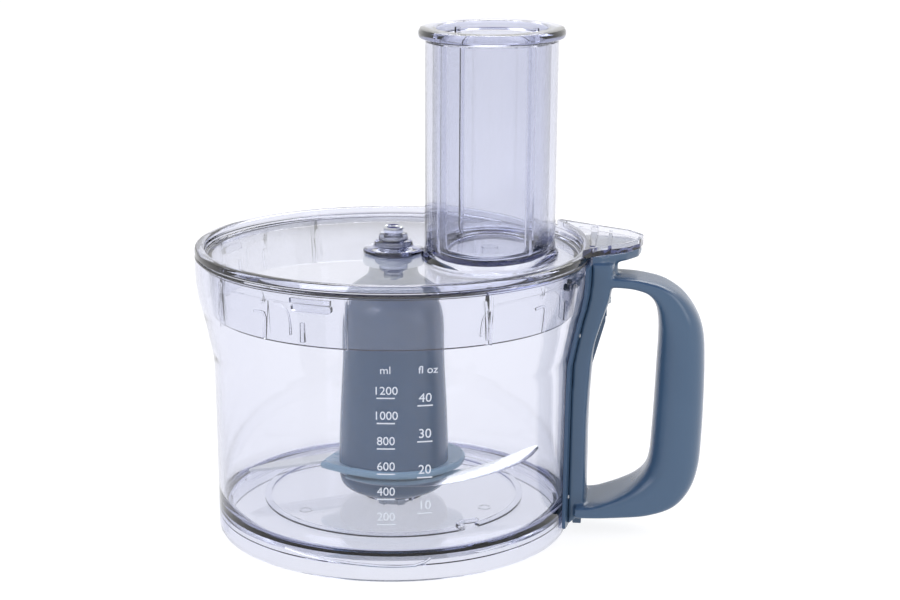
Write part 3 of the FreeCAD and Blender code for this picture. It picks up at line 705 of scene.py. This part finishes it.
def loop_rings(around=44):
    """Rounded sections carried round the grip, from the top of the post to its foot."""
    inner_run, outer_run = (smooth_run([station[i] for station in HANDLE_LOOP], 8) for i in (0, 1))
    sizes = smooth_run([station[2:] for station in HANDLE_LOOP], 8)
    rings = []
    for inner, outer, (half, power) in zip(inner_run, outer_run, sizes):
        middle, reach = (inner + outer) / 2, (outer - inner) / 2
        ring = []
        for k in range(around):
            c, s = math.cos(TURN * k / around), math.sin(TURN * k / around)
            along = math.copysign(abs(c) ** (2 / power), c)
            p = middle + reach * along
            ring.append((p.x, half * math.copysign(abs(s) ** (2 / power), s), p.y))
        rings.append(ring)
    return rings


def post_rings(across=10):
    rings = []
    for face in smooth_run(POST_FACE, 5):
        radius = outer_radius(face.y) + PLATE_CLEAR
        back = [(math.sqrt(radius ** 2 - y ** 2), y, face.y)
                for y in (POST_HALF_WIDTH * (2 * k / across - 1) for k in range(across + 1))]
        front = [(face.x - 1.2 * abs(u) ** 5, POST_HALF_WIDTH * u * 0.97, face.y)
                 for u in (1 - 2 * k / across for k in range(across + 1))]
        rings.append(back + front)
    return rings


ROD_CLEAR = 2.1
HOUSING_UNDER = 109.5
FLANGE_UNDER = 129.3
FLANGE_TOP = 133.0
BORE_STEPS = 48
# the flange at the top of the post, in plan, under the lid's tab
FLANGE_OUTLINE = [(84, -11.5, 0), (97, -10.5, 6), (107.6, -1, 12), (113.4, 9, 8), (114.8, 20.6, 5),
                  (108, 30, 8),
                  (90, 33, 3), (82, 30, 0)]


def inside_back_plate():
    """Everything inside the back plate's outer face, which the handle fits against."""
    levels = [-5.0, 14.0, 40.0, 70.0, 82.0, 89.0, 96.5, 103.5, 109.5, 115.5, 122.0, 129.5, 140.0]
    return lathe([(0, levels[0]), *[(outer_radius(z) + PLATE_CLEAR, z) for z in levels], (0, levels[-1])])


def on_button_axis(radius, low, high):
    """An upright round bar on the interlock button's axis."""
    rings = [[(ROD_TOP_X + radius * math.cos(TURN * k / BORE_STEPS),
               radius * math.sin(TURN * k / BORE_STEPS), z)
              for k in range(BORE_STEPS)] for z in (low, high)]
    return ring_mesh(rings, closed=False)


def make_handle():
    handle = as_object("handle_moulding", ring_mesh(loop_rings(), closed=False))
    post = ring_mesh(post_rings(), closed=False)
    combine(handle, post, "UNION")
    combine(handle, slab(rounded(FLANGE_OUTLINE, PLAN_STEPS), FLANGE_UNDER, FLANGE_TOP), "UNION")
    combine(handle, on_button_axis(6.6, 121.0, 130.0), "UNION")
    remesh = handle.modifiers.new("blend", "REMESH")
    remesh.mode, remesh.voxel_size = "VOXEL", 0.7
    smooth = handle.modifiers.new("soften", "SMOOTH")
    smooth.factor, smooth.iterations = 0.5, 8
    apply_modifiers(handle)
    combine(handle, inside_back_plate(), "DIFFERENCE")
    low_x, top_x = ROD_LOW_X + ROD_CLEAR, ROD_TOP_X + ROD_CLEAR
    rod_way = slab([(78, -2), (low_x, -2), (low_x, 66), (top_x, 104), (top_x, HOUSING_UNDER),
                    (78, HOUSING_UNDER)],
                   -4.2, 4.2, "xz")
    combine(handle, rod_way, "DIFFERENCE")
    for radius, low, high in ((3.8, 108.5, 129.5), (3.3, 128.5, 134.0)):
        combine(handle, on_button_axis(radius, low, high), "DIFFERENCE")
    return finished(handle, BLUE_GREY, "bowl", ["handle"])


# ---------------------------------------------------------------- measuring marks on the bowl

def wrapped_text(name, words, size, angle, z):
    """Raised generic lettering on the bowl's outer wall, centred at an angle in degrees."""
    curve = bpy.data.curves.new(name, "FONT")
    curve.body, curve.size, curve.align_x = words, size, "CENTER"
    curve.extrude = 0.15
    maker = bpy.data.objects.new(name, curve)
    bpy.context.scene.collection.objects.link(maker)
    graph = bpy.context.evaluated_depsgraph_get()
    graph.update()
    mesh = bpy.data.meshes.new_from_object(maker.evaluated_get(graph))
    bpy.data.objects.remove(maker)
    return bend_round(mesh, angle, z)


def bend_round(mesh, angle, z):
    bm = bmesh.new()
    bm.from_mesh(mesh)
    for v in bm.verts:
        height = z + v.co.y
        radius = outer_radius(height) + 0.12 + v.co.z
        around = math.radians(angle) + v.co.x / outer_radius(height)
        v.co = (radius * math.cos(around), radius * math.sin(around), height)
    bmesh.ops.remove_doubles(bm, verts=bm.verts, dist=1e-4)
    return bm


def mark_line(angle, z, width=7.8, thick=0.55):
    line = slab([(-width / 2 + width * k / 8, 0) for k in range(9)]
                + [(width / 2 - width * k / 8, thick) for k in range(9)], -0.15, 0.15)
    mesh = bpy.data.meshes.new("line")
    line.to_mesh(mesh)
    return bend_round(mesh, angle, z)


# where the two scales stand round the wall in degrees, their lowest marks and the steps between them
ML_ANGLE, ML_LOWEST, ML_STEP = -84.0, 27.0, 11.46
OZ_ANGLE, OZ_LOWEST, OZ_STEP = -72.5, 31.8, 16.27
UNITS_LEVEL = 96.0
NUMBER_RISE = 2.0


def make_marks():
    """Two graduated scales of plain numbers and units."""
    parts = []
    for i in range(6):
        z = ML_LOWEST + ML_STEP * i
        parts += [mark_line(ML_ANGLE, z), wrapped_text("ml_mark", str(200 * (i + 1)), 5.3, ML_ANGLE,
                                                       z + NUMBER_RISE)]
    for i in range(4):
        z = OZ_LOWEST + OZ_STEP * i
        parts += [mark_line(OZ_ANGLE, z, 6.6),
                  wrapped_text("oz_mark", str(10 * (i + 1)), 5.8, OZ_ANGLE, z + NUMBER_RISE)]
    parts += [wrapped_text("ml_word", "ml", 5.0, ML_ANGLE, UNITS_LEVEL),
              wrapped_text("oz_word", "fl oz", 5.0, OZ_ANGLE + 0.5, UNITS_LEVEL)]
    marks = as_object("measuring_marks", joined(parts))
    return finished(marks, MARKING, "bowl")


# ---------------------------------------------------------------- stage, light and camera

def make_stage():
    """A wide pale floor that stays white out to the horizon."""
    bm = bmesh.new()
    bmesh.ops.create_circle(bm, cap_ends=True, segments=96, radius=9.0)
    mesh = bpy.data.meshes.new("floor")
    bm.to_mesh(mesh)
    floor = bpy.data.objects.new("floor", mesh)
    floor.location.z = -0.0002
    bpy.context.scene.collection.objects.link(floor)
    material, nodes, links, shader = new_material("floor")
    shader.inputs["Base Color"].default_value = (0.25, 0.25, 0.255, 1)
    shader.inputs["Roughness"].default_value = 0.8
    shader.inputs["Specular IOR Level"].default_value = 0.1
    shader.inputs["Emission Color"].default_value = (1, 1, 1, 1)
    shader.inputs["Emission Strength"].default_value = 0.84
    mesh.materials.append(material)


def make_world():
    """White round the object, brighter just above the horizon, and dark violet overhead."""
    world = bpy.data.worlds.new("studio")
    bpy.context.scene.world = world
    world.use_nodes = True
    nodes, links = world.node_tree.nodes, world.node_tree.links
    place = nodes.new("ShaderNodeTexCoord")
    split = nodes.new("ShaderNodeSeparateXYZ")
    links.new(place.outputs["Generated"], split.inputs[0])
    height = ramp_value(nodes, links, split.outputs["Z"], 0.0, 1.0)
    height.node.inputs["From Min"].default_value = 0.68
    height.node.inputs["From Max"].default_value = 0.84
    colour = blend_colours(nodes, links, height, (1.0, 1.0, 1.0), (0.05, 0.045, 0.18))
    glow = ramp_value(nodes, links, split.outputs["Z"], 1.0, 1.55)
    glow.node.inputs["From Min"].default_value = 0.52
    glow.node.inputs["From Max"].default_value = 0.6
    links.new(glow, nodes["Background"].inputs["Strength"])
    links.new(colour, nodes["Background"].inputs["Color"])


def softbox(name, place, aim, size, watts):
    light = bpy.data.lights.new(name, "AREA")
    light.shape = "RECTANGLE"
    light.size, light.size_y = size
    light.energy = watts
    lamp = bpy.data.objects.new(name, light)
    lamp.location = place
    lamp.rotation_euler = (Vector(aim) - Vector(place)).to_track_quat("-Z", "Y").to_euler()
    bpy.context.scene.collection.objects.link(lamp)


def make_camera():
    place = Vector((0.1204, -0.8222, 0.308))
    heading, pitch, roll = math.radians(-6.51), math.radians(13.58), math.radians(0.34)
    forward = Vector((math.sin(heading) * math.cos(pitch), math.cos(heading) * math.cos(pitch),
                      -math.sin(pitch)))
    camera = bpy.data.objects.new("camera", bpy.data.cameras.new("camera"))
    camera.data.lens = 73.04
    camera.data.clip_start = 0.01
    camera.location = place
    camera.rotation_mode = "QUATERNION"
    tilt = Matrix.Rotation(roll, 3, "Z").to_quaternion()
    camera.rotation_quaternion = forward.to_track_quat("-Z", "Y") @ tilt
    bpy.context.scene.collection.objects.link(camera)
    bpy.context.scene.camera = camera


def light_paths():
    """Enough bounces for a line of sight through four clear walls and back."""
    cycles = bpy.context.scene.cycles
    cycles.max_bounces = 32
    cycles.transmission_bounces = 32
    cycles.transparent_max_bounces = 32
    bpy.context.scene.view_settings.view_transform = "Standard"


dress_cad_nodes()
make_bowl()
make_lid()
make_knob_ring()
make_pusher()
make_hub()
make_carrier()
make_skirt()
make_collar()
make_blade("blade_right", "blade_upper", 0.0, 1.0, 0)
make_blade("blade_left", "blade_lower", 1.9, -0.1, 180)
make_handle()
make_marks()
make_stage()
make_world()
softbox("key", (-0.9, -0.7, 1.1), (0, 0, 0.1), (0.9, 0.9), 6)
softbox("fill", (1.1, -0.5, 0.7), (0, 0, 0.1), (0.6, 1.0), 3.5)
softbox("back", (0.2, 1.0, 0.9), (0, 0, 0.1), (1.2, 0.5), 5)
make_camera()
light_paths()
